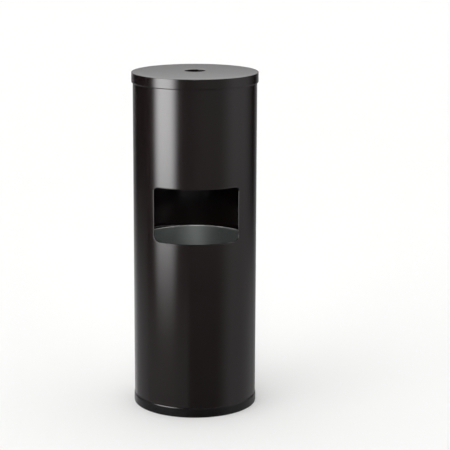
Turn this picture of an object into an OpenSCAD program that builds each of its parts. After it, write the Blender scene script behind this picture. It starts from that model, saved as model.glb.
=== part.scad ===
// Free-standing round ashtray bin. A sheet steel shell stands on a plastic foot ring and has a
// waste opening at hand height. An ash drum hangs in its top under a loose lid with one hole,
// and a galvanised liner with a bail stands on the base plate below the opening.
// Millimetres. +Z is up, the waste opening faces -Y, and the origin is on the floor, in the
// middle of the foot ring's underside.

/* [Overall] */
// Height from the floor to the highest point of the lid
total_h = 914.4; // [850:0.1:1100]
// Outer diameter of the shell
shell_d = 332.7; // [310:0.1:400]
// Sheet thickness of the shell
shell_t = 0.9; // [0.7:0.1:1.4]

/* [Waste opening] */
// Width of the opening, straight across
opening_w = 223; // [150:1:240]
// Height of the opening
opening_h = 146; // [110:1:180]
// Height of the opening's lower edge above the floor
opening_z = 475.5; // [400:0.5:560]
// Radius of the opening's two upper corners
corner_r_top = 11; // [6:0.5:30]
// Radius of the opening's two lower corners
corner_r_low = 15.5; // [6:0.5:30]
// Width of the sheet folded back inside around the opening
hem_w = 8; // [4:0.5:12]

/* [Lid] */
// Sheet thickness of the lid
lid_t = 0.9; // [0.7:0.1:1.4]
// Gap between the lid's skirt and the shell
lid_gap = 2.8; // [1.8:0.1:5]
// Height of the skirt below the lid's edge
skirt_h = 28; // [18:0.5:45]
// Rise of the lid's middle above its edge
lid_crown = 2; // [1:0.1:6]
// Outer radius of the bend between the lid's top and its skirt
lid_edge_r = 2.2; // [1.6:0.1:6]
// Height of the sheet folded up inside the skirt's lower edge
skirt_hem_h = 6; // [4:0.5:12]
// Clear diameter of the hole in the lid's middle
hole_d = 55; // [30:1:90]
// Depth of the collar turned down around the hole
collar_h = 7; // [4:0.5:15]

/* [Foot ring and base plate] */
// Height of the foot ring
ring_h = 24; // [16:0.5:40]
// Wall thickness of the foot ring outside the shell
ring_t = 1.1; // [0.9:0.1:3]
// Thickness of the foot ring under the shell's lower edge
ring_web = 3; // [2:0.5:6]
// Inward reach of the foot ring under the base plate
ring_reach = 12; // [6:0.5:30]
// Height of the foot ring's inner lip
lip_h = 9; // [5:0.5:12]
// Height of the base plate's top above the floor
plate_z = 15; // [14:0.5:30]
// Sheet thickness of the base plate
plate_t = 0.9; // [0.7:0.1:2]

/* [Ash drum] */
// Sheet thickness of the ash drum
drum_t = 0.7; // [0.5:0.1:1]
// Gap between the drum's wall and the fold around the waste opening
drum_gap = 3.5; // [2.5:0.1:8]
// Height of the drum's foot above the fold over the waste opening
drum_clear = 5; // [2:0.5:30]
// Width of a drop handle, between the middles of its two legs
handle_w = 60; // [50:1:80]
// Height of a drop handle, between the middles of its two bars
handle_h = 36; // [28:1:40]
// Wire diameter of a drop handle
handle_wire_d = 5; // [4:0.1:6]
// Depth of a handle's pivot below the drum's flange
handle_drop = 46; // [44:1:80]
// Width of the strap that holds a handle
strap_w = 24; // [18:1:28]

/* [Liner] */
// Sheet thickness of the liner
liner_t = 0.6; // [0.5:0.1:1]
// Gap between the liner's wall and the fold around the waste opening
liner_gap = 18.5; // [16:0.5:40]
// Depth of the liner's rim below the opening's lower edge
rim_drop = 16; // [12:1:80]
// Wire diameter inside the liner's rolled rim
rim_wire_d = 3.3; // [2:0.1:5]
// Wire diameter of the bail
bail_d = 4; // [3:0.1:5]
// Direction in which the resting bail lies, counted from +X towards +Y
bail_dir = 145; // [0:1:180]
// Angle of the resting bail above the horizontal
bail_rest = 9; // [8:0.5:14]
// Depth of the bail's pivots below the rim's top
pivot_drop = 20; // [18:0.5:30]
// Width of an ear
ear_w = 44; // [42:1:60]
// Height of an ear
ear_h = 20; // [14:0.5:24]

/* [Fixings and clearances] */
// Sheet thickness of the ears and straps
ear_t = 1.2; // [1:0.1:2]
// Shank diameter of a rivet
rivet_d = 4; // [3:0.1:5]
// Gap between pieces that are pressed, seamed or riveted together
fit = 0.1; // [0.05:0.01:0.2]
// Gap between a wire and the piece that holds or stops it
play = 0.3; // [0.2:0.05:0.5]

/* [Hidden] */
$fn = 96;

satin_black = "#231f1f";
inside_black = "#141415";
ring_black = "#1d1b1b";
galvanised = "#7d8482";
zinc_wire = "#9a9e9d";

// Overlap that joins the shapes of one piece, and overshoot of the shapes that cut it
join = 0.1;
cut = 1;

// Shell
shell_r = shell_d / 2;
shell_in = shell_r - shell_t;
hem_in = shell_in - shell_t;
opening_top = opening_z + opening_h;

// Lid, from the edge of its top inwards
lid_edge_z = total_h - lid_crown;
lid_r = shell_r + lid_gap + lid_t;
seat_w = 9;
crown_r = shell_r - seat_w;
collar_bend = 2;
hole_r = hole_d / 2;
crown_steps = 12;

// Foot ring and base plate
ring_in = shell_r + fit;
ring_r = ring_in + ring_t;
plate_r = shell_in - fit;
plate_bend = 3;
lip_t = 1.6;

// Seam between a drum's wall and its bottom, and the bottom's height in its foot
seam_h = 6;
foot_h = 8;
bottom_bend = 2;

// Ash drum: its flange lies on the shell's top edge, and the lid lies on the flange
flange_z = lid_edge_z - lid_t;
shell_top = flange_z - drum_t;
drum_r = hem_in - drum_gap;
drum_in = drum_r - drum_t;
drum_z = opening_top + hem_w + drum_clear;
flange_bend = 1.5;
handle_wire_r = handle_wire_d / 2;
handle_bend = 10;
handle_z = flange_z - handle_drop;
handle_x = sqrt(pow(drum_in, 2) - pow(handle_w / 2 + handle_wire_r, 2)) - handle_wire_r - play;
strap_back = sqrt(pow(drum_in, 2) - pow(strap_w / 2, 2)) - fit;
strap_wing = 14;

// Liner: its foot stands on the base plate
liner_z = plate_z;
liner_r = hem_in - liner_gap;
liner_in = liner_r - liner_t;
liner_top = opening_z - rim_drop;
bead_hole = rim_wire_d / 2 + fit / 2;
bead_r = bead_hole + liner_t;
bead_mid = liner_in + bead_r;
rim_r = bead_mid + bead_r;
side_seam_w = 7;
side_seam_dir = 300;

// Bail: an arc that passes outside the rim as it swings
bail_wire_r = bail_d / 2;
pivot_z = liner_top - pivot_drop;
bail_room = 0.6;
bail_r = sqrt(pow(rim_r + bail_wire_r + bail_room, 2) + pow(pivot_drop, 2));
hump_w = 18;
hump_slope = 2;
hump_crest = hump_w / 2 - hump_slope;
// The curved wire passes the corners of the hump as it swings
hump_r = sqrt(pow(bail_r - bail_wire_r, 2) - pow(hump_crest, 2) - pow(ear_h / 2, 2)) - play;
stop_near = 5.5;
stop_far = 8.5;
stop_t = 1.2;
head_r = 3.1;
head_t = 1.1;

// Rivets
rivet_r = rivet_d / 2;
rivet_head_r = rivet_r * 2;
rivet_head_t = 1.5;
rivet_tail_r = rivet_r * 1.5;
rivet_tail_t = 1.1;
ear_rivet_y = ear_w / 2 - 7;
ear_rivet_turn = asin(ear_rivet_y / liner_r);
strap_rivet_z = handle_wire_r + play + ear_t + strap_wing / 2;

// ---- Shapes that repeat ----

// Rectangle of a turned profile, between two radii and two heights
module band(r0, r1, z0, z1) {
    translate([r0, z0]) square([r1 - r0, z1 - z0]);
}

// Quarter bend of a sheet's profile, about [x, z], towards the quadrant [qx, qz]
module bend(x, z, inner_r, t, qx, qz) {
    reach = inner_r + t;
    translate([x, z]) intersection() {
        difference() {
            circle(reach);
            circle(inner_r);
        }
        translate([qx > 0 ? 0 : -reach, qz > 0 ? 0 : -reach]) square(reach);
    }
}

// What rounds off a profile's outer corner at [x, z], which points towards [qx, qz]
module corner_cut(x, z, r, qx, qz) {
    translate([x - qx * r, z - qz * r]) difference() {
        translate([qx > 0 ? 0 : -r - cut, qz > 0 ? 0 : -r - cut]) square(r + cut);
        circle(r);
    }
}

// Upright tube
module tube(r, t, z0, z1) {
    translate([0, 0, z0]) difference() {
        cylinder(h = z1 - z0, r = r);
        translate([0, 0, -cut]) cylinder(h = z1 - z0 + 2 * cut, r = r - t);
    }
}

// Rod along X between two radii
module rod(r0, r1, rod_r) {
    translate([r0, 0, 0]) rotate([0, 90, 0]) cylinder(h = r1 - r0, r = rod_r);
}

// Rivet along +X from the far side of the sheets to the near side, with its head outermost
module rivet(r0, r1) {
    rod(r0 - join, r1 + join, rivet_r);
    translate([r1, 0, 0]) rotate([0, 90, 0]) {
        cylinder(h = rivet_head_t / 3, r = rivet_head_r);
        translate([0, 0, rivet_head_t / 3])
            cylinder(h = rivet_head_t * 2 / 3, r1 = rivet_head_r, r2 = rivet_head_r * 0.6);
    }
    rod(r0 - rivet_tail_t, r0, rivet_tail_r);
}

// Outline of the waste opening, seen from the front, made larger all round by grow
module opening_outline(grow) {
    half = opening_w / 2 + grow;
    z0 = opening_z - grow;
    z1 = opening_top + grow;
    difference() {
        band(-half, half, z0, z1);
        for (side = [-1, 1]) {
            corner_cut(side * half, z0, corner_r_low + grow, side, -1);
            corner_cut(side * half, z1, corner_r_top + grow, side, 1);
        }
    }
}

// Solid that cuts the opening through the front of the shell
module opening_cut(grow) {
    rotate([90, 0, 0]) linear_extrude(shell_r + cut) opening_outline(grow);
}

// Profile of the channel that a drum's bottom is seamed into
module seam_profile(r, t, z0) {
    inner = r - 3 * t - 2 * fit;
    band(inner, r, z0, z0 + t);
    band(inner, inner + t, z0, z0 + seam_h);
}

// Bottom of a drum: a disc with a flange that points down into the seam
module seamed_bottom(r, t, z0) {
    rim = r - t - fit;
    top = z0 + foot_h;
    rotate_extrude() {
        band(0, rim - bottom_bend, top - t, top);
        bend(rim - bottom_bend, top - bottom_bend, bottom_bend - t, t, 1, 1);
        band(rim - t, rim, z0 + t + fit, top - bottom_bend);
    }
}

// ---- Shell, foot ring and base plate ----

module body_shell() {
    color(satin_black) union() {
        difference() {
            tube(shell_r, shell_t, ring_web, shell_top);
            opening_cut(0);
        }
        // The sheet is folded back inside around the opening
        difference() {
            intersection() {
                tube(shell_in + join, shell_t + join, opening_z - hem_w - cut, opening_top + hem_w + cut);
                opening_cut(hem_w);
            }
            opening_cut(0);
        }
    }
}

module base_ring() {
    lip_r = shell_in - ring_reach;
    color(ring_black) rotate_extrude() difference() {
        union() {
            band(ring_in, ring_r, 0, ring_h);
            band(lip_r, ring_r, 0, ring_web);
            band(lip_r, lip_r + lip_t, 0, lip_h);
        }
        corner_cut(ring_r, ring_h, ring_t * 0.7, 1, 1);
        corner_cut(ring_r, 0, ring_t, 1, -1);
    }
}

module base_plate() {
    color(inside_black) rotate_extrude() {
        band(0, plate_r - plate_bend, plate_z - plate_t, plate_z);
        bend(plate_r - plate_bend, plate_z - plate_bend, plate_bend - plate_t, plate_t, 1, 1);
        band(plate_r - plate_t, plate_r, ring_web, plate_z - plate_bend);
    }
}

// ---- Lid ----

// Height of the lid's top surface at radius r, between the collar and the flat seat
function crown_z(r) =
    let (share = (r - hole_r - collar_bend) / (crown_r - hole_r - collar_bend))
    lid_edge_z + lid_crown * (1 - share * share);

// The crowned sheet, which runs a little into the collar's bend and into the flat seat
module lid_crown_profile() {
    inner = hole_r + collar_bend;
    radii = [for (i = [0:crown_steps]) inner + (crown_r - inner) * i / crown_steps];
    top = concat(
        [[inner - join, total_h]],
        [for (r = radii) [r, crown_z(r)]],
        [[crown_r + join, lid_edge_z]]
    );
    last = len(top) - 1;
    under = [for (point = top) point - [0, lid_t]];
    polygon(concat(under, [for (i = [last:-1:0]) top[i]]));
}

module lid() {
    skirt_z = lid_edge_z - skirt_h;
    color(satin_black) rotate_extrude() {
        lid_crown_profile();
        band(crown_r, lid_r - lid_edge_r, lid_edge_z - lid_t, lid_edge_z);
        bend(lid_r - lid_edge_r, lid_edge_z - lid_edge_r, lid_edge_r - lid_t, lid_t, 1, 1);
        band(lid_r - lid_t, lid_r, skirt_z + lid_t, lid_edge_z - lid_edge_r);
        // Folded lower edge of the skirt
        translate([lid_r - lid_t, skirt_z + lid_t]) circle(lid_t);
        band(lid_r - 2 * lid_t, lid_r - lid_t + join, skirt_z + lid_t, skirt_z + skirt_hem_h);
        // Collar around the hole
        bend(hole_r + collar_bend, total_h - collar_bend, collar_bend - lid_t, lid_t, -1, 1);
        band(hole_r, hole_r + lid_t, total_h - collar_h, total_h - collar_bend);
    }
}

// ---- Ash drum ----

module ash_drum_wall() {
    color(galvanised) difference() {
        rotate_extrude() {
            band(drum_in, drum_r, drum_z, flange_z - drum_t - flange_bend);
            bend(drum_r + flange_bend, flange_z - drum_t - flange_bend, flange_bend, drum_t, -1, 1);
            band(drum_r + flange_bend, shell_r, flange_z - drum_t, flange_z);
            seam_profile(drum_r, drum_t, drum_z);
        }
        both_straps() strap_rivet_holes();
    }
}

module ash_drum_bottom() {
    color(galvanised) seamed_bottom(drum_r, drum_t, drum_z);
}

// Places its children at the right handle, and turned half round at the left one
module at_handle(left) {
    rotate([0, 0, left ? 180 : 0]) translate([0, 0, handle_z]) children();
}

module both_straps() {
    for (left = [false, true]) at_handle(left) children();
}

module strap_rivet_holes() {
    for (side = [-1, 1]) translate([0, 0, side * strap_rivet_z])
        rod(handle_x - handle_w, drum_r + cut, rivet_r + fit / 2);
}

// Strap bent over a handle's upper bar, with a wing above it and one below
module handle_strap() {
    tunnel = handle_wire_r + play;
    front = handle_x - tunnel;
    half_h = tunnel + ear_t + strap_wing;
    color(zinc_wire) difference() {
        translate([0, strap_w / 2, 0]) rotate([90, 0, 0]) linear_extrude(strap_w) {
            difference() {
                band(front - ear_t, strap_back, -tunnel - ear_t, tunnel + ear_t);
                band(front, strap_back + cut, -tunnel, tunnel);
            }
            for (side = [-1, 1]) translate([0, side * (half_h + tunnel) / 2])
                band(strap_back - ear_t, strap_back, -(half_h - tunnel) / 2, (half_h - tunnel) / 2);
        }
        strap_rivet_holes();
    }
}

module ash_drum_strap_left() {
    at_handle(true) handle_strap();
}

module ash_drum_strap_right() {
    at_handle(false) handle_strap();
}

// Rivets with their heads inside the drum
module ash_drum_rivets() {
    color(zinc_wire) both_straps() for (side = [-1, 1])
        translate([strap_back - ear_t, 0, side * strap_rivet_z]) mirror([1, 0, 0])
            rivet(strap_back - ear_t - drum_r - fit, fit);
}

// Closed wire loop that hangs from its upper bar, which is its pivot
module drop_handle() {
    half = handle_w / 2 - handle_bend;
    color(zinc_wire) translate([handle_x, 0, -handle_h / 2]) rotate([0, 90, 0]) {
        for (a = [0, 180]) rotate([0, 0, a]) {
            rail = handle_h / 2 - handle_bend;
            translate([handle_h / 2, 0, 0]) rotate([90, 0, 0])
                cylinder(h = 2 * half, r = handle_wire_r, center = true);
            translate([0, handle_w / 2, 0]) rotate([0, 90, 0])
                cylinder(h = 2 * rail, r = handle_wire_r, center = true);
            translate([rail, half, 0]) rotate_extrude(angle = 90)
                translate([handle_bend, 0]) circle(handle_wire_r, $fn = 32);
            translate([-rail, half, 0]) rotate([0, 0, 90]) rotate_extrude(angle = 90)
                translate([handle_bend, 0]) circle(handle_wire_r, $fn = 32);
        }
    }
}

module ash_drum_handle_left() {
    at_handle(true) drop_handle();
}

module ash_drum_handle_right() {
    at_handle(false) drop_handle();
}

// ---- Liner ----

// Places its children at both ends of the bail's pivot line, with +X pointing outwards
module at_ear(left) {
    rotate([0, 0, bail_dir - 90 + (left ? 180 : 0)]) translate([0, 0, pivot_z]) children();
}

module ear_rivet_turns() {
    for (side = [-1, 1]) rotate([0, 0, side * ear_rivet_turn]) children();
}

module ear_rivet_holes() {
    ear_rivet_turns() rod(liner_in - cut, liner_r + ear_t + cut, rivet_r + fit / 2);
}

module liner_wall() {
    color(galvanised) difference() {
        union() {
            rotate_extrude() {
                band(liner_in, liner_r, liner_z, liner_top - bead_r);
                seam_profile(liner_r, liner_t, liner_z);
                // Rim rolled outwards around its wire
                translate([bead_mid, liner_top - bead_r]) difference() {
                    circle(bead_r, $fn = 48);
                    circle(bead_hole, $fn = 48);
                }
            }
            // Flattened side seam
            rotate([0, 0, side_seam_dir]) rotate_extrude(angle = side_seam_w / liner_r * 180 / PI)
                band(liner_r - liner_t / 2, liner_r + liner_t, liner_z + foot_h, liner_top - 3 * bead_r);
        }
        for (left = [false, true]) at_ear(left) ear_rivet_holes();
    }
}

module liner_bottom() {
    color(galvanised) seamed_bottom(liner_r, liner_t, liner_z);
}

module liner_rim_wire() {
    color(zinc_wire) rotate_extrude() translate([bead_mid, liner_top - bead_r])
        circle(rim_wire_d / 2, $fn = 48);
}

// Outline of the hump in an ear, seen from above, drawn in by inset
module hump_outline(inset) {
    foot = hump_w / 2 - inset;
    crest = foot - hump_slope;
    polygon([[liner_r - inset, -foot], [hump_r - inset, -crest], [hump_r - inset, crest], [liner_r - inset, foot]]);
}

// Two small ledges that hold the resting bail up, one on each side of the pivot
module bail_stops() {
    top = stop_near * tan(bail_rest) - bail_wire_r / cos(bail_rest) - play;
    for (side = [-1, 1])
        translate([hump_r - ear_t, side > 0 ? stop_near : -stop_far, top - stop_t])
            cube([ear_t + play + bail_wire_r, stop_far - stop_near, stop_t]);
}

// Riveted sheet ear: curved wings and a hump that the bail's end hooks into
module ear() {
    color(zinc_wire) difference() {
        union() {
            intersection() {
                tube(liner_r + fit + ear_t, ear_t, -ear_h / 2, ear_h / 2);
                translate([0, -ear_w / 2, -ear_h / 2 - cut]) cube([shell_r, ear_w, ear_h + 2 * cut]);
            }
            intersection() {
                translate([0, 0, -ear_h / 2]) linear_extrude(ear_h) hump_outline(0);
                tube(shell_r, shell_r - liner_r - fit, -ear_h, ear_h);
            }
            bail_stops();
        }
        translate([0, 0, -ear_h]) linear_extrude(2 * ear_h) hump_outline(ear_t);
        rod(liner_r, hump_r + cut, bail_wire_r + play);
        ear_rivet_holes();
    }
}

module liner_ear_left() {
    at_ear(true) ear();
}

module liner_ear_right() {
    at_ear(false) ear();
}

module liner_rivets() {
    color(zinc_wire) for (left = [false, true]) at_ear(left) ear_rivet_turns()
        rivet(liner_in - fit, liner_r + 2 * fit + ear_t);
}

// Half round wire handle whose ends turn inwards through the ears and are upset into heads
module liner_bail() {
    color(zinc_wire) rotate([0, 0, bail_dir - 90]) translate([0, 0, pivot_z]) rotate([bail_rest, 0, 0]) {
        rotate_extrude(angle = 180) translate([bail_r, 0]) circle(bail_wire_r, $fn = 32);
        for (turn = [0, 180]) rotate([0, 0, turn]) {
            translate([bail_r, 0, 0]) sphere(bail_wire_r);
            rod(hump_r - ear_t - play - head_t, bail_r, bail_wire_r);
            rod(hump_r - ear_t - play - head_t, hump_r - ear_t - play, head_r);
        }
    }
}

body_shell();
base_ring();
base_plate();
lid();
ash_drum_wall();
ash_drum_bottom();
ash_drum_strap_left();
ash_drum_strap_right();
ash_drum_rivets();
ash_drum_handle_left();
ash_drum_handle_right();
liner_wall();
liner_bottom();
liner_rim_wire();
liner_ear_left();
liner_ear_right();
liner_rivets();
liner_bail();
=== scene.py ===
import math

import bpy
from bpy.props import FloatProperty, FloatVectorProperty, IntProperty, PointerProperty
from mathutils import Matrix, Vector


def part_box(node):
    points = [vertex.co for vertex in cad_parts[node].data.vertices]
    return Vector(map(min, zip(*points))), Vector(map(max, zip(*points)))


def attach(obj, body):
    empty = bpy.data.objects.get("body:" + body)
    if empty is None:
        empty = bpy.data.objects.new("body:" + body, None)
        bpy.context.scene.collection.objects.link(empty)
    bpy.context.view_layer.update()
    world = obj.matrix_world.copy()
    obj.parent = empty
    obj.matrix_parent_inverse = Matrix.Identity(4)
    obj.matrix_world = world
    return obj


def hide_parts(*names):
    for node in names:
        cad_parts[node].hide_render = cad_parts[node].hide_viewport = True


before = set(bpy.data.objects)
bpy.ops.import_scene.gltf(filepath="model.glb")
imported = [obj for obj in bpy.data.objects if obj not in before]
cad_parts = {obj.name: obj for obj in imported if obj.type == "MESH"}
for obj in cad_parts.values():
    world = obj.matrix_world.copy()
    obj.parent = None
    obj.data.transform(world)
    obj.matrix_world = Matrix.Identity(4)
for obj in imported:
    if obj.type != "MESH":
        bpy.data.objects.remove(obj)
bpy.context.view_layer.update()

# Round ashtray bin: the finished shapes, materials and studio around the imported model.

bl_info = {
    "name": "Ashtray bin",
    "version": (1, 0, 0),
    "blender": (4, 5, 0),
    "location": "3D View > Sidebar > Ashtray bin",
    "description": "Models a round steel ashtray bin piece by piece and sets up its studio",
    "category": "Add Mesh",
}

MM = 0.001
# Gap between pieces that are pressed or seamed together
SEAM_FIT = 0.1 * MM


# ---- Sizes and colours that a user would change ----

def length(name, millimetres, description):
    """A length property whose default is given in millimetres."""
    return FloatProperty(
        name=name, description=description, default=millimetres * MM,
        min=0.0, precision=5, subtype="DISTANCE", unit="LENGTH",
    )


def linear(hex_value):
    """An sRGB hex value as a linear colour with full alpha."""
    channels = [int(hex_value[i:i + 2], 16) / 255 for i in (1, 3, 5)]
    return [c / 12.92 if c <= 0.04045 else ((c + 0.055) / 1.055) ** 2.4 for c in channels] + [1.0]


def colour(name, hex_value, description):
    """A colour property whose default is given as an sRGB hex value."""
    return FloatVectorProperty(
        name=name, description=description, default=linear(hex_value),
        size=4, min=0.0, max=1.0, subtype="COLOR",
    )


class AshbinSizes(bpy.types.PropertyGroup):
    steps: IntProperty(
        name="Steps round", description="Number of faces round each turned piece",
        default=256, min=64, max=512,
    )
    shell_sheet: length("Shell sheet", 0.9, "Sheet thickness of the shell and the base plate")
    lid_sheet: length("Lid sheet", 0.9, "Sheet thickness of the lid")
    drum_sheet: length("Drum sheet", 0.7, "Sheet thickness of the ash drum")
    liner_sheet: length("Liner sheet", 0.6, "Sheet thickness of the liner")
    opening_width: length("Opening width", 223, "Width of the waste opening, straight across")
    opening_height: length("Opening height", 146, "Height of the waste opening")
    opening_low: length("Opening height above floor", 475.5, "Height of the opening's lower edge")
    corner_top: length("Upper corners", 11, "Radius of the opening's two upper corners")
    corner_low: length("Lower corners", 15.5, "Radius of the opening's two lower corners")
    hem_width: length("Hem", 8, "Width of the sheet folded back inside around the opening")
    hem_roll: length("Hem roll", 1.4, "Radius of the rolled edge of the hem")
    hole: length("Hole", 55, "Clear diameter of the hole in the lid")
    collar: length("Collar", 7, "Depth of the collar turned down around the hole")
    crown: length("Crown", 2, "Rise of the lid's middle above its edge")
    seat: length("Seat", 9, "Width of the flat band at the lid's edge, over the shell")
    lid_edge: length("Lid edge", 1.4, "Radius of the bend between the lid's top and its skirt")
    skirt_hem: length("Skirt hem", 6, "Height of the sheet folded up inside the skirt")
    rim_wire: length("Rim wire", 3.3, "Diameter of the wire in the liner's rolled rim")


class AshbinColours(bpy.types.PropertyGroup):
    coat: colour("Powder coat", "#120b0b", "Warm black of the shell and lid")
    trim: colour("Foot ring", "#0d0c0c", "Neutral black of the moulded foot ring")
    zinc: colour("Galvanised sheet", "#4f5552", "Dull grey of hot-dip galvanised sheet")
    # Painted highlight: near-white grey for the top of the liner's rolled rim, so that it shows as a thin
    # bright line
    rubbed: colour("Rubbed rim", "#f0f2f0", "Pale grey of the liner's rubbed rim")
    bright_zinc: colour("Zinc plate", "#a7abab", "Brighter grey of plated wire and pressings")
    floor: colour("Floor", "#f4f4f3", "Plain pale studio floor")


def sizes():
    return bpy.context.scene.ashbin_sizes


def colours():
    return bpy.context.scene.ashbin_colours


# ---- Modelling by hand, in small steps ----

def only(piece):
    """Selects one object and nothing else."""
    bpy.ops.object.select_all(action="DESELECT")
    piece.select_set(True)
    bpy.context.view_layer.objects.active = piece
    return piece


def named(name):
    """Names the object that was just added, and its mesh."""
    piece = bpy.context.view_layer.objects.active
    piece.name = name
    piece.data.name = name
    return piece


def settle(piece):
    """Puts the piece's place in its mesh, with its origin on the floor under the bin's middle."""
    only(piece)
    bpy.ops.object.transform_apply(location=True, rotation=True, scale=True)
    return piece


def modified(piece, kind, **settings):
    """Adds one modifier and applies it."""
    only(piece)
    modifier = piece.modifiers.new(kind.title(), kind)
    for key, value in settings.items():
        setattr(modifier, key, value)
    bpy.ops.object.modifier_apply(modifier=modifier.name)
    return piece


def smooth(piece, degrees=35):
    """Smooth shading that leaves broad faces flat and keeps sharp edges."""
    only(piece)
    bpy.ops.object.shade_smooth_by_angle(angle=math.radians(degrees))
    return modified(piece, "WEIGHTED_NORMAL", keep_sharp=True)


def picked(piece, kind, test):
    """Selects the vertices or edges whose points pass a test, and goes into edit mode."""
    only(piece)
    bpy.ops.object.mode_set(mode="EDIT")
    bpy.ops.mesh.select_mode(type=kind)
    bpy.ops.mesh.select_all(action="DESELECT")
    bpy.ops.object.mode_set(mode="OBJECT")
    points = piece.data.vertices
    if kind == "VERT":
        for vertex in points:
            vertex.select = test(vertex.co)
    else:
        for edge in piece.data.edges:
            edge.select = test(*(points[i].co for i in edge.vertices))
    bpy.ops.object.mode_set(mode="EDIT")


def arc(x, z, radius, start, end, count):
    """Points along an arc about x, z, from one angle to another in degrees."""
    turns = [math.radians(start + (end - start) * i / count) for i in range(count + 1)]
    return [(x + radius * math.cos(a), z + radius * math.sin(a)) for a in turns]


def tidy_outline(points):
    """Leaves out a point that repeats the one before it."""
    kept = []
    for point in points:
        if not kept or math.dist(point, kept[-1]) > 0.02 * MM:
            kept.append(point)
    return kept


def spun(name, outline):
    """Draws a closed section point by point from one vertex, and spins it round the Z axis."""
    outline = tidy_outline(outline)
    x0, z0 = outline[0]
    bpy.ops.object.select_all(action="DESELECT")
    bpy.ops.mesh.primitive_plane_add(size=MM, location=(x0, 0, z0))
    piece = named(name)
    bpy.ops.object.mode_set(mode="EDIT")
    bpy.ops.mesh.select_mode(type="VERT")
    bpy.ops.mesh.select_all(action="SELECT")
    bpy.ops.mesh.merge(type="CENTER")
    for (xa, za), (xb, zb) in zip(outline, outline[1:] + outline[:1]):
        bpy.ops.mesh.extrude_region_move(TRANSFORM_OT_translate={"value": (xb - xa, 0, zb - za)})
    bpy.ops.mesh.select_all(action="SELECT")
    bpy.ops.mesh.remove_doubles(threshold=0.001 * MM)
    bpy.ops.mesh.spin(steps=sizes().steps, angle=math.tau, center=(0, 0, 0), axis=(0, 0, 1))
    bpy.ops.mesh.select_all(action="SELECT")
    bpy.ops.mesh.remove_doubles(threshold=0.001 * MM)
    bpy.ops.mesh.normals_make_consistent(inside=False)
    bpy.ops.object.mode_set(mode="OBJECT")
    return settle(piece)


def placed(piece, body, slot, *nodes):
    """Ties a finished piece to its body and hides the nodes that it stands for; slot is not used."""
    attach(piece, body)
    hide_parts(*nodes)


# ---- Materials ----

def add(tree, kind, inputs=None, **settings):
    """Adds a shader node with its settings, and links or sets its inputs."""
    node = tree.nodes.new("ShaderNode" + kind)
    for key, value in settings.items():
        setattr(node, key, value)
    for key, value in (inputs or {}).items():
        if isinstance(value, bpy.types.NodeSocket):
            tree.links.new(value, node.inputs[key])
        else:
            node.inputs[key].default_value = value
    return node


def per(millimetres):
    """Texture scale for a pattern whose features are this far apart."""
    return 1 / (millimetres * MM)


def new_material(name, **surface):
    """A material whose principled shader has its constant inputs set, with its object coordinates."""
    material = bpy.data.materials.new(name)
    material.use_nodes = True
    tree = material.node_tree
    for key, value in surface.items():
        tree.nodes["Principled BSDF"].inputs[key.replace("_", " ")].default_value = value
    return material, tree, add(tree, "TexCoord").outputs["Object"]


def wired(material, **sockets):
    """Links outputs to the principled shader's inputs."""
    tree = material.node_tree
    for key, socket in sockets.items():
        tree.links.new(socket, tree.nodes["Principled BSDF"].inputs[key.replace("_", " ")])
    return material


def shade(base, factor):
    """A lighter or darker colour."""
    return [min(c * factor, 1.0) for c in base[:3]] + [1.0]


def satin_powder_coat():
    """Polyester powder coat baked on sheet steel. Its satin skin blurs each light into a soft band,
    with a faint orange peel and a slow drift in tone and gloss."""
    base = colours().coat
    material, tree, place = new_material("satin_powder_coat", IOR=1.5)
    drift = add(tree, "TexNoise", {"Vector": place, "Scale": per(140), "Detail": 3.0})
    fine = add(tree, "TexNoise", {"Vector": place, "Scale": per(5), "Detail": 2.0})
    # Real orange peel is about 1.5 mm across and is drawn at 3 mm, so that it shows
    peel = add(tree, "TexNoise", {"Vector": place, "Scale": per(3), "Detail": 1.0})
    tint = add(tree, "Mix", {
        "Factor": drift.outputs["Fac"], "A": shade(base, 0.85), "B": shade(base, 1.2),
    }, data_type="RGBA")
    slow = add(tree, "MapRange", {"Value": drift.outputs["Fac"], "To Min": 0.15, "To Max": 0.2})
    gloss = add(tree, "Math", {
        0: fine.outputs["Fac"], 1: 0.04, 2: slow.outputs["Result"],
    }, operation="MULTIPLY_ADD")
    bump = add(tree, "Bump", {"Height": peel.outputs["Fac"], "Strength": 0.06, "Distance": 0.05 * MM})
    return wired(
        material, Base_Color=tint.outputs["Result"], Roughness=gloss.outputs["Value"],
        Normal=bump.outputs["Normal"],
    )


def moulded_trim():
    """Moulded black plastic with a fine spark-eroded grain: duller than the paint above it."""
    base = colours().trim
    material, tree, place = new_material("moulded_trim", IOR=1.48, Specular_IOR_Level=0.3)
    drift = add(tree, "TexNoise", {"Vector": place, "Scale": per(60), "Detail": 2.0})
    # Real grain is about 0.4 mm across and is drawn at 1.2 mm, so that it shows
    grain = add(tree, "TexNoise", {"Vector": place, "Scale": per(1.2), "Detail": 2.0})
    tint = add(tree, "Mix", {
        "Factor": drift.outputs["Fac"], "A": shade(base, 0.8), "B": shade(base, 1.25),
    }, data_type="RGBA")
    gloss = add(tree, "MapRange", {"Value": drift.outputs["Fac"], "To Min": 0.22, "To Max": 0.3})
    bump = add(tree, "Bump", {"Height": grain.outputs["Fac"], "Strength": 0.25, "Distance": 0.05 * MM})
    return wired(
        material, Base_Color=tint.outputs["Result"], Roughness=gloss.outputs["Result"],
        Normal=bump.outputs["Normal"],
    )


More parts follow.
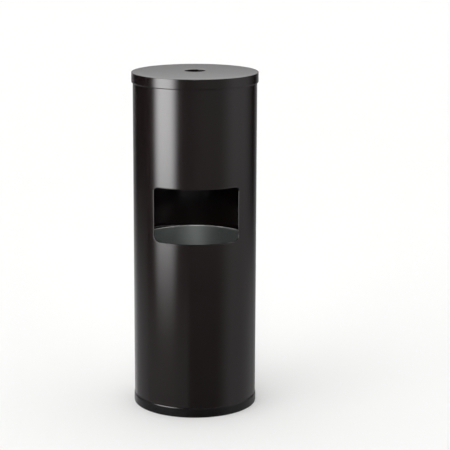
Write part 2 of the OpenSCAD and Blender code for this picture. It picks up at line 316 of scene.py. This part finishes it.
def galvanised_sheet():
    """Hot-dip galvanised steel sheet: a cool, dull grey whose zinc crystals are flat flakes, each
    a little lighter or darker and duller or brighter than the next, under faint rolling lines."""
    base = colours().zinc
    material, tree, place = new_material("galvanised_sheet", Metallic=1.0)
    warp = add(tree, "TexNoise", {"Vector": place, "Scale": per(12), "Detail": 2.0})
    bent = add(tree, "Mix", {"Factor": 0.006, "A": place, "B": warp.outputs["Color"]}, data_type="VECTOR")
    flakes = add(tree, "TexVoronoi", {"Vector": bent.outputs["Result"], "Scale": per(11)})
    crystal = add(tree, "SeparateColor", {"Color": flakes.outputs["Color"]})
    cloud = add(tree, "TexNoise", {"Vector": place, "Scale": per(90), "Detail": 3.0})
    facet = add(tree, "MapRange", {"Value": crystal.outputs["Red"], "To Min": -0.45, "To Max": 0.45})
    level = add(tree, "Math", {0: facet.outputs["Result"], 1: cloud.outputs["Fac"]}, operation="ADD")
    tint = add(tree, "Mix", {
        "Factor": level.outputs["Value"], "A": shade(base, 0.66), "B": shade(base, 1.36),
    }, data_type="RGBA")
    gloss = add(tree, "MapRange", {"Value": crystal.outputs["Blue"], "To Min": 0.24, "To Max": 0.34})
    lines = add(tree, "Mapping", {"Vector": place, "Scale": (per(160), per(160), per(1.5))})
    rolled = add(tree, "TexNoise", {"Vector": lines.outputs["Vector"], "Scale": 1.0, "Detail": 2.0})
    relief = add(tree, "Math", {0: crystal.outputs["Green"], 1: rolled.outputs["Fac"]}, operation="ADD")
    bump = add(tree, "Bump", {"Height": relief.outputs["Value"], "Strength": 0.2, "Distance": 0.025 * MM})
    return wired(
        material, Base_Color=tint.outputs["Result"], Roughness=gloss.outputs["Result"],
        Normal=bump.outputs["Normal"],
    )


def bright_zinc_plate():
    """Zinc-plated drawn wire and small pressings: cleaner and brighter than the dipped sheet, with
    a soft cloudiness and short handling marks."""
    base = colours().bright_zinc
    material, tree, place = new_material("bright_zinc_plate", Metallic=1.0)
    cloud = add(tree, "TexNoise", {"Vector": place, "Scale": per(14), "Detail": 4.0})
    marks = add(tree, "TexNoise", {"Vector": place, "Scale": per(0.8), "Detail": 2.0})
    tint = add(tree, "Mix", {
        "Factor": cloud.outputs["Fac"], "A": shade(base, 0.75), "B": shade(base, 1.2),
    }, data_type="RGBA")
    gloss = add(tree, "MapRange", {"Value": cloud.outputs["Fac"], "To Min": 0.24, "To Max": 0.4})
    bump = add(tree, "Bump", {"Height": marks.outputs["Fac"], "Strength": 0.15, "Distance": 0.03 * MM})
    return wired(
        material, Base_Color=tint.outputs["Result"], Roughness=gloss.outputs["Result"],
        Normal=bump.outputs["Normal"],
    )


def rim_highlight_zinc():
    """The top of the liner's rolled rim, painted a pale, chalky grey and made almost matt, so that the
    roll shows as a thin bright line all round: a painted highlight, with fine scratches that run round it."""
    base = colours().rubbed
    material, tree, place = new_material("rim_highlight_zinc", Metallic=0.3)
    cloud = add(tree, "TexNoise", {"Vector": place, "Scale": per(10), "Detail": 4.0})
    tint = add(tree, "Mix", {
        "Factor": cloud.outputs["Fac"], "A": shade(base, 0.7), "B": shade(base, 1.15),
    }, data_type="RGBA")
    gloss = add(tree, "MapRange", {"Value": cloud.outputs["Fac"], "To Min": 0.4, "To Max": 0.55})
    lines = add(tree, "Mapping", {"Vector": place, "Scale": (per(20), per(20), per(0.4))})
    scratch = add(tree, "TexNoise", {"Vector": lines.outputs["Vector"], "Scale": 1.0, "Detail": 3.0})
    bump = add(tree, "Bump", {"Height": scratch.outputs["Fac"], "Strength": 0.2, "Distance": 0.03 * MM})
    return wired(
        material, Base_Color=tint.outputs["Result"], Roughness=gloss.outputs["Result"],
        Normal=bump.outputs["Normal"],
    )


def pale_floor():
    """Smooth matt studio floor with a barely visible mottle."""
    base = colours().floor
    material, tree, place = new_material("pale_floor", Roughness=0.9)
    mottle = add(tree, "TexNoise", {"Vector": place, "Scale": per(700), "Detail": 3.0})
    tint = add(tree, "Mix", {
        "Factor": mottle.outputs["Fac"], "A": shade(base, 0.985), "B": shade(base, 1.0),
    }, data_type="RGBA")
    return wired(material, Base_Color=tint.outputs["Result"])


def finish_of(maker):
    """The material that a function makes, made once."""
    return bpy.data.materials.get(maker.__name__) or maker()


def coated(piece, maker):
    piece.data.materials.clear()
    piece.data.materials.append(finish_of(maker))
    return piece


# ---- Shell ----

def rounded_window(name, grow):
    """A block as wide and high as the waste opening plus grow on each side, through the front."""
    s = sizes()
    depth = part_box("body_shell")[1].x * 1.2
    wide = s.opening_width + 2 * grow
    high = s.opening_height + 2 * grow
    middle = s.opening_low + s.opening_height / 2
    bpy.ops.object.select_all(action="DESELECT")
    bpy.ops.mesh.primitive_cube_add(size=1, location=(0, -depth / 2, middle))
    block = named(name)
    block.scale = (wide, depth, high)
    settle(block)
    near = MM / 10

    def at_corner(a, b, upper):
        along = abs(a.y - b.y) > depth / 2
        at_side = min(abs(a.x), abs(b.x)) > wide / 2 - near
        at_end = min(abs(a.z - middle), abs(b.z - middle)) > high / 2 - near
        return along and at_side and at_end and (a.z > middle) == upper

    for radius, upper in ((s.corner_top, True), (s.corner_low, False)):
        picked(block, "EDGE", lambda a, b: at_corner(a, b, upper))
        bpy.ops.mesh.bevel(offset=radius + grow, segments=12, affect="EDGES")
        bpy.ops.object.mode_set(mode="OBJECT")
    return block


def round_wall(name, radius, low, high):
    """An open tube of sheet, rolled from a cylinder's side."""
    bpy.ops.object.select_all(action="DESELECT")
    bpy.ops.mesh.primitive_cylinder_add(
        vertices=sizes().steps, radius=radius, depth=high - low,
        end_fill_type="NOTHING", location=(0, 0, (low + high) / 2),
    )
    return settle(named(name))


def thickened(wall, thickness):
    return modified(wall, "SOLIDIFY", thickness=thickness, offset=-1.0, use_even_offset=True)


def combined(piece, other, operation):
    """Joins, cuts or intersects a piece with another, which is used up."""
    modified(piece, "BOOLEAN", object=other, operation=operation, solver="EXACT")
    bpy.data.objects.remove(other)
    return piece


def bisected(piece, height):
    """Adds a level row of edges round a piece."""
    only(piece)
    bpy.ops.object.mode_set(mode="EDIT")
    bpy.ops.mesh.select_all(action="SELECT")
    bpy.ops.mesh.bisect(plane_co=(0, 0, height), plane_no=(0, 0, 1))
    bpy.ops.object.mode_set(mode="OBJECT")


def creased(piece, radius, height, half, depth):
    """Rolls a shallow groove into the outside of a round wall."""
    for level in (height - half, height, height + half):
        bisected(piece, level)
    skin, near = 0.5 * MM, 0.05 * MM
    picked(piece, "VERT", lambda p: Vector(p.xy).length > radius - skin and abs(p.z - height) < near)
    share = 1 - depth / radius
    bpy.ops.transform.resize(value=(share, share, 1), center_override=(0, 0, height))
    bpy.ops.object.mode_set(mode="OBJECT")


def weld_seam(wall):
    """Presses a fine groove into the sheet along the weld at the back."""
    width, depth, near = 0.7 * MM, 0.2 * MM, MM / 10
    back = max(v.co.y for v in wall.data.vertices)

    def on_seam(a, b):
        behind = all(abs(p.x) < MM and p.y > back - near for p in (a, b))
        return behind and abs(a.z - b.z) > MM

    picked(wall, "EDGE", on_seam)
    bpy.ops.mesh.bevel(offset=width, segments=2, affect="EDGES")
    bpy.ops.object.mode_set(mode="OBJECT")
    picked(wall, "VERT", lambda p: abs(p.x) < near and p.y > back - near)
    bpy.ops.transform.translate(value=(0, -depth, 0))
    bpy.ops.object.mode_set(mode="OBJECT")
    return wall


def hem_bead(radius, roll, cut_back):
    """The rolled edge of the hem: a thin round roll that follows the opening round the shell."""
    s = sizes()
    long_edge, cuts = 40 * MM, 48
    outline = rounded_window("hem_roll", cut_back)
    picked(outline, "VERT", lambda p: p.y > -radius / 2)
    bpy.ops.mesh.delete(type="VERT")
    bpy.ops.mesh.select_all(action="SELECT")
    bpy.ops.mesh.delete(type="ONLY_FACE")
    bpy.ops.object.mode_set(mode="OBJECT")
    # The straight edges are cut up, so that they can follow the round wall
    picked(outline, "EDGE", lambda a, b: (a - b).length > long_edge)
    bpy.ops.mesh.subdivide(number_cuts=cuts)
    bpy.ops.object.mode_set(mode="OBJECT")
    guide = round_wall("hem_guide", radius, s.opening_low / 2, s.opening_low + s.opening_height * 2)
    modified(outline, "SHRINKWRAP", target=guide, wrap_method="PROJECT", use_project_y=True)
    bpy.data.objects.remove(guide)
    only(outline)
    bpy.ops.object.convert(target="CURVE")
    roll_curve = bpy.context.view_layer.objects.active
    roll_curve.data.bevel_depth = roll
    roll_curve.data.bevel_resolution = 3
    bpy.ops.object.convert(target="MESH")
    return named("hem_roll")


class ASHBIN_OT_shell(bpy.types.Operator):
    """Rolled steel shell with its waste opening, folded hem and back weld"""

    bl_idname = "ashbin.shell"
    bl_label = "Shell"

    def execute(self, context):
        s = sizes()
        low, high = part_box("body_shell")
        sheet, radius = s.shell_sheet, high.x
        shell = weld_seam(thickened(round_wall("shell", radius, low.z, high.z), sheet))
        # The sheet is cut a little wider than the opening, and the roll covers its edge
        roll_cover = 0.86
        cut_back = s.hem_roll * roll_cover
        combined(shell, rounded_window("window", cut_back), "DIFFERENCE")
        # The fold reaches a little into the shell, so that the two join
        bite = 0.1
        spare = s.hem_width * 1.5
        fold = round_wall(
            "fold", radius - sheet * (1 - bite),
            s.opening_low - spare, s.opening_low + s.opening_height + spare,
        )
        thickened(fold, sheet * (1 + bite))
        combined(fold, rounded_window("fold_outer", s.hem_width), "INTERSECT")
        combined(fold, rounded_window("fold_inner", cut_back), "DIFFERENCE")
        combined(shell, fold, "UNION")
        combined(shell, hem_bead(radius - sheet, s.hem_roll, cut_back), "UNION")
        # Short faces beside the opening keep its hem from bending the light on the tall ones
        margin = s.hem_width * 1.8
        for height in (s.opening_low - margin, s.opening_low + s.opening_height + margin):
            bisected(shell, height)
        # Shadow line just above the foot ring
        rise, half, depth = 1.4 * MM, 1.2 * MM, 0.45 * MM
        creased(shell, radius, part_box("base_ring")[1].z + rise, half, depth)
        smooth(coated(shell, satin_powder_coat), 15)
        placed(shell, "root", "black_paint", "body_shell")
        return {"FINISHED"}


# ---- Foot ring and base plate ----

class ASHBIN_OT_foot_ring(bpy.types.Operator):
    """Moulded plastic ring that the shell stands in"""

    bl_idname = "ashbin.foot_ring"
    bl_label = "Foot ring"

    def execute(self, context):
        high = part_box("base_ring")[1]
        outer = high.x
        shell_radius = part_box("body_shell")[1].x
        inner = shell_radius + SEAM_FIT
        web_reach = 12 * MM
        lip = shell_radius - sizes().shell_sheet - web_reach
        web, lip_top, lip_wall = 3 * MM, 9 * MM, 1.6 * MM
        round_out, round_low, ease = 0.35 * MM, 1.1 * MM, 0.3 * MM
        # The wall's top is drafted, and its inner edge closes up against the shell
        draft, draft_height = 0.4 * MM, 2.8 * MM
        lean = ease * 0.2
        outline = arc(outer - round_low, round_low, round_low, -90, 0, 5)
        outline += [(outer, high.z - draft_height)]
        outline += arc(outer - draft - round_out, high.z - round_out, round_out, 0, 90, 5)
        outline += arc(inner + lean, high.z - ease, ease, 90, 180, 3)
        outline += [(inner, web)]
        outline += [(lip + lip_wall, web)]
        outline += arc(lip + lip_wall / 2, lip_top - lip_wall / 2, lip_wall / 2, 0, 180, 8)
        outline += arc(lip + ease, ease, ease, 180, 270, 3)
        ring = spun("foot_ring", outline)
        smooth(coated(ring, moulded_trim), 40)
        placed(ring, "root", "black_plastic", "base_ring")
        return {"FINISHED"}


def pan_outline(radius, sheet, low, top, bend):
    """A disc with a flange turned down at its edge, as a closed section."""
    outline = [(0, top - sheet)]
    outline += arc(radius - bend, top - bend, bend - sheet, 90, 0, 6)
    outline += [(radius - sheet, low), (radius, low)]
    outline += arc(radius - bend, top - bend, bend, 0, 90, 6)
    outline += [(0, top)]
    return outline


class ASHBIN_OT_base_plate(bpy.types.Operator):
    """Pressed base plate that closes the shell and carries the liner"""

    bl_idname = "ashbin.base_plate"
    bl_label = "Base plate"

    def execute(self, context):
        low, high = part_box("base_plate")
        bend = 3 * MM
        outline = pan_outline(high.x, sizes().shell_sheet, low.z, high.z, bend)
        plate = smooth(coated(spun("base_pan", outline), satin_powder_coat))
        placed(plate, "root", "black_paint", "base_plate")
        return {"FINISHED"}


# ---- Lid ----

class ASHBIN_OT_lid(bpy.types.Operator):
    """Pressed lid: crowned top, hemmed skirt and a collared hole in the middle"""

    bl_idname = "ashbin.lid"
    bl_label = "Lid"

    def execute(self, context):
        s = sizes()
        low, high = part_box("lid")
        radius, sheet, edge = high.x, s.lid_sheet, s.lid_edge
        top = high.z
        rim = top - s.crown
        bend = 2 * MM
        inner = s.hole / 2 + bend
        crown_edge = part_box("body_shell")[1].x - s.seat

        def crown(count):
            rows = [i / count for i in range(count + 1)]
            return [(inner + (crown_edge - inner) * t, rim + s.crown * (1 - t * t)) for t in rows]

        # The seat falls outwards a little, and the foot of the skirt is drawn in
        fall, fold, draw, tuck = 0.5 * MM, low.z + sheet, 2.4 * MM, 0.5 * MM
        outline = arc(inner, top - bend, bend, 180, 90, 6)
        outline += crown(16)
        outline += arc(radius - edge, rim - fall - edge, edge, 90, 0, 8)
        outline += [(radius, low.z + draw), (radius - tuck * 0.35, low.z + draw * 0.6)]
        outline += arc(radius - tuck - sheet, fold, sheet, 0, -180, 10)
        hem_top = low.z + s.skirt_hem
        outline += [(radius - 2 * sheet - tuck / 2, hem_top), (radius - sheet, hem_top)]
        outline += arc(radius - edge, rim - fall - edge, edge - sheet, 0, 90, 6)
        outline += [(x, z - sheet) for x, z in reversed(crown(16))]
        outline += arc(inner, top - bend, bend - sheet, 90, 180, 6)
        outline += [(inner - bend + sheet, top - s.collar), (inner - bend, top - s.collar)]
        lid = smooth(coated(spun("lid_pressing", outline), satin_powder_coat), 30)
        placed(lid, "lid", "black_paint", "lid")
        return {"FINISHED"}


# ---- Ash drum and liner ----

def seamed_foot(radius, sheet, foot):
    """The wall's lower edge, turned in and up round the flange of the bottom."""
    height = 6 * MM
    inner = radius - 3 * sheet - 2 * SEAM_FIT
    outline = [(radius - sheet, foot + sheet), (inner + sheet, foot + sheet)]
    outline += [(inner + sheet, foot + height), (inner, foot + height)]
    outline += arc(inner + sheet, foot + sheet, sheet, 180, 270, 4)
    outline += arc(radius - sheet, foot + sheet, sheet, -90, 0, 4)
    return outline


def seamed_bottom(name, radius, sheet, foot):
    """A drum's bottom, whose flange stands in the seam of the wall."""
    rise, bend = 8 * MM, 2 * MM
    outline = pan_outline(radius - sheet - SEAM_FIT, sheet, foot + sheet + SEAM_FIT, foot + rise, bend)
    return smooth(coated(spun(name, outline), galvanised_sheet))


class ASHBIN_OT_ash_drum(bpy.types.Operator):
    """Galvanised ash drum that hangs by its flange in the top of the shell"""

    bl_idname = "ashbin.ash_drum"
    bl_label = "Ash drum"

    def execute(self, context):
        sheet = sizes().drum_sheet
        low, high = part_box("ash_drum_wall")
        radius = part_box("ash_drum_bottom")[1].x + sheet + SEAM_FIT
        bend = 1.5 * MM
        neck = high.z - sheet - bend
        outline = seamed_foot(radius, sheet, low.z)
        outline += arc(radius + bend, neck, bend, 180, 90, 6)
        outline += [(high.x, high.z - sheet), (high.x, high.z)]
        outline += arc(radius + bend, neck, bend + sheet, 90, 180, 6)
        wall = smooth(coated(spun("drum_wall", outline), galvanised_sheet))
        placed(wall, "ash_drum", "galvanised_sheet", "ash_drum_wall")
        bottom = seamed_bottom("drum_bottom", radius, sheet, low.z)
        placed(bottom, "ash_drum", "galvanised_sheet", "ash_drum_bottom")
        return {"FINISHED"}


class ASHBIN_OT_liner(bpy.types.Operator):
    """Galvanised liner with a rim rolled round its wire"""

    bl_idname = "ashbin.liner"
    bl_label = "Liner"

    def execute(self, context):
        s = sizes()
        sheet = s.liner_sheet
        low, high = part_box("liner_wall")
        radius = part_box("liner_bottom")[1].x + sheet + SEAM_FIT
        wire_fit = 0.05 * MM
        roll = s.rim_wire / 2 + wire_fit + sheet
        middle_x, middle_z = radius - sheet + roll, high.z - roll
        outline = seamed_foot(radius, sheet, low.z)
        outline += [(radius, middle_z - roll * 1.3)]
        # The curl comes round the wire and ends just short of the wall
        outline += arc(middle_x, middle_z, roll - sheet, 195, -120, 20)
        outline += arc(middle_x, middle_z, roll, -120, 180, 24)
        wall = coated(spun("liner_wall_finished", outline), galvanised_sheet)
        wall.data.materials.append(finish_of(rim_highlight_zinc))
        # Painted highlight: faces at the top of the roll get the pale rim colour, so the rim shows as a
        # bright line
        highlight_from = middle_z + roll * 0.2
        for face in wall.data.polygons:
            if face.center.z > highlight_from:
                face.material_index = 1
        smooth(wall)
        placed(wall, "liner", "galvanised_sheet", "liner_wall")
        bottom = seamed_bottom("liner_base", radius, sheet, low.z)
        placed(bottom, "liner", "galvanised_sheet", "liner_bottom")
        return {"FINISHED"}


# ---- Wire and small pressings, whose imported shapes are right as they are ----

class ASHBIN_OT_fittings(bpy.types.Operator):
    """Zinc-plated bail, drop handles, ears, straps, rivets and rim wire"""

    bl_idname = "ashbin.fittings"
    bl_label = "Wire and fittings"

    def execute(self, context):
        plated = ("handle", "strap", "rivets", "rim_wire", "ear", "bail")
        for name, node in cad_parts.items():
            if any(word in name for word in plated):
                coated(node, bright_zinc_plate)
        return {"FINISHED"}


# ---- Studio ----

def softbox(name, place, target, width, height, watts):
    """A rectangular area light that faces its target."""
    bpy.ops.object.select_all(action="DESELECT")
    bpy.ops.object.light_add(type="AREA", location=place)
    lamp = bpy.context.view_layer.objects.active
    lamp.name = name
    lamp.data.shape = "RECTANGLE"
    lamp.data.size = width
    lamp.data.size_y = height
    lamp.data.energy = watts
    lamp.rotation_euler = (Vector(target) - Vector(place)).to_track_quat("-Z", "Y").to_euler()
    lamp.visible_camera = False
    return lamp


def around(azimuth, distance, height):
    """A point round the bin: azimuth 0 is in front and grows to the right."""
    a = math.radians(azimuth)
    return (distance * math.sin(a), -distance * math.cos(a), height)


def wall_panel(tree, azimuth, elevation, middle, half, soft, level, fade=(-60, -40)):
    """A soft-edged bright patch of the room, as reflections see it. Its middle, half width and soft
    margin are in degrees round the room. Fade is the height in degrees where it is dark, and the
    one where it is full: the light lies above the fade, or below it where the second is lower."""
    away = add(tree, "Math", {0: azimuth, 1: middle}, operation="SUBTRACT")
    turn = add(tree, "Math", {0: away.outputs["Value"], 1: 180.0, 2: -180.0}, operation="WRAP")
    off = add(tree, "Math", {0: turn.outputs["Value"]}, operation="ABSOLUTE")
    across = add(tree, "MapRange", {
        "Value": off.outputs["Value"], "From Min": half, "From Max": half + soft,
        "To Min": level, "To Max": 0.0,
    }, interpolation_type="SMOOTHSTEP")
    upward = add(tree, "MapRange", {
        "Value": elevation, "From Min": fade[0], "From Max": fade[1],
    }, interpolation_type="SMOOTHSTEP")
    both = add(tree, "Math", {0: across.outputs["Result"], 1: upward.outputs["Result"]}, operation="MULTIPLY")
    return both.outputs["Value"]


def studio_world():
    """White to the eye and as soft fill. Reflections see a dim room with a few soft bright patches."""
    world = bpy.data.worlds.new("studio")
    bpy.context.scene.world = world
    world.use_nodes = True
    world.cycles.sampling_method = "NONE"
    tree = world.node_tree
    shader = tree.nodes["Background"]
    shader.inputs["Color"].default_value = (1, 1, 1, 1)
    way = add(tree, "SeparateXYZ", {"Vector": add(tree, "TexCoord").outputs["Generated"]})
    front = add(tree, "Math", {0: way.outputs["Y"], 1: -1.0}, operation="MULTIPLY")
    turn = add(tree, "Math", {0: way.outputs["X"], 1: front.outputs["Value"]}, operation="ARCTAN2")
    lift = add(tree, "Math", {0: way.outputs["Z"]}, operation="ARCSINE")
    azimuth, elevation = (
        add(tree, "Math", {0: angle.outputs["Value"]}, operation="DEGREES").outputs["Value"]
        for angle in (turn, lift)
    )
    total = add(tree, "Value").outputs["Value"]
    room_level, fill_level = 0.01, 0.95
    total.default_value = room_level
    for patch in (
        (88, 8, 38, 0.5, (-16, -9)),       # weak softbox on the right
        (45, 20, 50, 0.25, (-14, -9)),     # open studio in front of it
        (10, 50, 40, 0.1),                 # and its dim far end
        (180, 22, 18, 0.33),               # pale wall behind
        (180, 22, 18, 0.65, (6, 14)),      # which is brighter higher up
        (-105, 48, 35, 0.42, (-11, -16)),  # lit floor on the left
        (100, 28, 35, 0.4, (-11, -16)),    # and on the right
        (180, 75, 25, 4.0, (15, 50)),      # ceiling
    ):
        level = wall_panel(tree, azimuth, elevation, *patch)
        total = add(tree, "Math", {0: total, 1: level}, operation="ADD").outputs["Value"]
    ray = add(tree, "LightPath")
    level = add(tree, "Mix", {"Factor": ray.outputs["Is Glossy Ray"], "A": fill_level, "B": total})
    tree.links.new(level.outputs["Result"], shader.inputs["Strength"])


def softbox_glow():
    """Lit cloth of the tall softbox: full in the middle, with wide soft sides and a softer foot."""
    material, tree, place = new_material(
        "softbox_glow", Roughness=1.0, Base_Color=(0, 0, 0, 1), Emission_Color=(1, 1, 1, 1),
    )
    material.cycles.emission_sampling = "NONE"
    way = add(tree, "SeparateXYZ", {"Vector": place})
    side = add(tree, "Math", {0: way.outputs["X"]}, operation="ABSOLUTE")
    across = add(tree, "MapRange", {
        "Value": side.outputs["Value"], "From Min": 0.36, "From Max": 1.05, "To Min": 11.0, "To Max": 0.0,
    }, interpolation_type="SMOOTHSTEP")
    upward = add(tree, "MapRange", {
        "Value": way.outputs["Y"], "From Min": -0.35, "From Max": 0.52,
    }, interpolation_type="SMOOTHSTEP")
    # Dim room to its right, and lit floor in front of its foot
    room = add(tree, "MapRange", {
        "Value": way.outputs["X"], "From Min": -0.3, "From Max": 0.6, "To Min": 0.02, "To Max": 0.12,
    }, interpolation_type="SMOOTHSTEP")
    floor = add(tree, "MapRange", {
        "Value": way.outputs["Y"], "From Min": -0.15, "From Max": -0.5, "To Min": 0.0, "To Max": 0.35,
    }, interpolation_type="SMOOTHSTEP")
    dim = add(tree, "Math", {0: room.outputs["Result"], 1: floor.outputs["Result"]}, operation="MAXIMUM")
    glow = add(tree, "Math", {
        0: across.outputs["Result"], 1: upward.outputs["Result"], 2: dim.outputs["Value"],
    }, operation="MULTIPLY_ADD")
    return wired(material, Emission_Strength=glow.outputs["Value"])


def tall_softbox(azimuth, distance):
    """A tall cloth panel that faces the bin and shows in reflections only."""
    bpy.ops.object.select_all(action="DESELECT")
    bpy.ops.mesh.primitive_plane_add(
        size=4, location=around(azimuth, distance, 0),
        rotation=(math.pi / 2, 0, math.radians(azimuth)),
    )
    cloth = coated(named("tall_softbox"), softbox_glow)
    for ray in ("camera", "diffuse", "transmission", "volume_scatter", "shadow"):
        setattr(cloth, "visible_" + ray, False)
    return cloth


class ASHBIN_OT_stage(bpy.types.Operator):
    """Pale floor, soft light and the camera"""

    bl_idname = "ashbin.stage"
    bl_label = "Studio"

    def execute(self, context):
        bpy.ops.object.select_all(action="DESELECT")
        bpy.ops.mesh.primitive_circle_add(vertices=96, radius=60, fill_type="NGON", location=(0, 0, 0))
        floor = coated(named("floor"), pale_floor)
        floor.visible_glossy = False
        studio_world()
        tall_softbox(azimuth=-57, distance=2.1)
        mouth = softbox(
            "mouth_light", place=around(azimuth=-3, distance=1.5, height=1.05), target=(0, 0, 0.5),
            width=0.34, height=0.6, watts=0.3,
        )
        mouth.data.spread = math.radians(24)
        self.sun()
        self.camera()
        context.scene.view_settings.view_transform = "Standard"
        return {"FINISHED"}

    def sun(self):
        """Broad, soft light from high on the left that gives the floor its faint shadow."""
        place = around(azimuth=-40, distance=2, height=3)
        bpy.ops.object.select_all(action="DESELECT")
        bpy.ops.object.light_add(type="SUN", location=place)
        sun = bpy.context.view_layer.objects.active
        sun.rotation_euler = Vector(place).to_track_quat("Z", "Y").to_euler()
        sun.data.energy = 0.5
        sun.data.angle = math.radians(50)
        sun.visible_glossy = False

    def camera(self):
        """Stands in front of the bin, a little to its left, and looks down on it."""
        distance, height, tilt, turn = 4.3, 1.451, math.radians(11.79), math.radians(-1.83)
        bpy.ops.object.select_all(action="DESELECT")
        bpy.ops.object.camera_add(
            location=(distance * math.sin(turn), -distance * math.cos(turn), height),
            rotation=(math.pi / 2 - tilt, 0, turn),
        )
        camera = bpy.context.view_layer.objects.active
        camera.data.sensor_width = 36
        camera.data.lens = 129.6
        camera.data.shift_x = 0.0668
        camera.data.shift_y = -0.049
        camera.data.clip_end = 200
        bpy.context.scene.camera = camera


# ---- Panel and running order ----

OPERATORS = (
    ASHBIN_OT_stage, ASHBIN_OT_shell, ASHBIN_OT_foot_ring, ASHBIN_OT_base_plate, ASHBIN_OT_lid,
    ASHBIN_OT_ash_drum, ASHBIN_OT_liner, ASHBIN_OT_fittings,
)


class ASHBIN_PT_panel(bpy.types.Panel):
    """Sidebar list of the bin's pieces, sizes and colours"""

    bl_idname = "ASHBIN_PT_panel"
    bl_label = "Ashtray bin"
    bl_space_type = "VIEW_3D"
    bl_region_type = "UI"
    bl_category = "Ashtray bin"

    def draw(self, context):
        column = self.layout.column(align=True)
        for operator in OPERATORS:
            column.operator(operator.bl_idname)
        for group in (context.scene.ashbin_sizes, context.scene.ashbin_colours):
            box = self.layout.box()
            for key in group.__annotations__:
                box.prop(group, key)


CLASSES = (AshbinSizes, AshbinColours) + OPERATORS + (ASHBIN_PT_panel,)


def register():
    for cls in CLASSES:
        bpy.utils.register_class(cls)
    bpy.types.Scene.ashbin_sizes = PointerProperty(type=AshbinSizes)
    bpy.types.Scene.ashbin_colours = PointerProperty(type=AshbinColours)


def unregister():
    del bpy.types.Scene.ashbin_colours
    del bpy.types.Scene.ashbin_sizes
    for cls in reversed(CLASSES):
        bpy.utils.unregister_class(cls)


def main():
    register()
    bpy.ops.ashbin.stage()
    bpy.ops.ashbin.shell()
    bpy.ops.ashbin.foot_ring()
    bpy.ops.ashbin.base_plate()
    bpy.ops.ashbin.lid()
    bpy.ops.ashbin.ash_drum()
    bpy.ops.ashbin.liner()
    bpy.ops.ashbin.fittings()


if __name__ == "__main__":
    main()
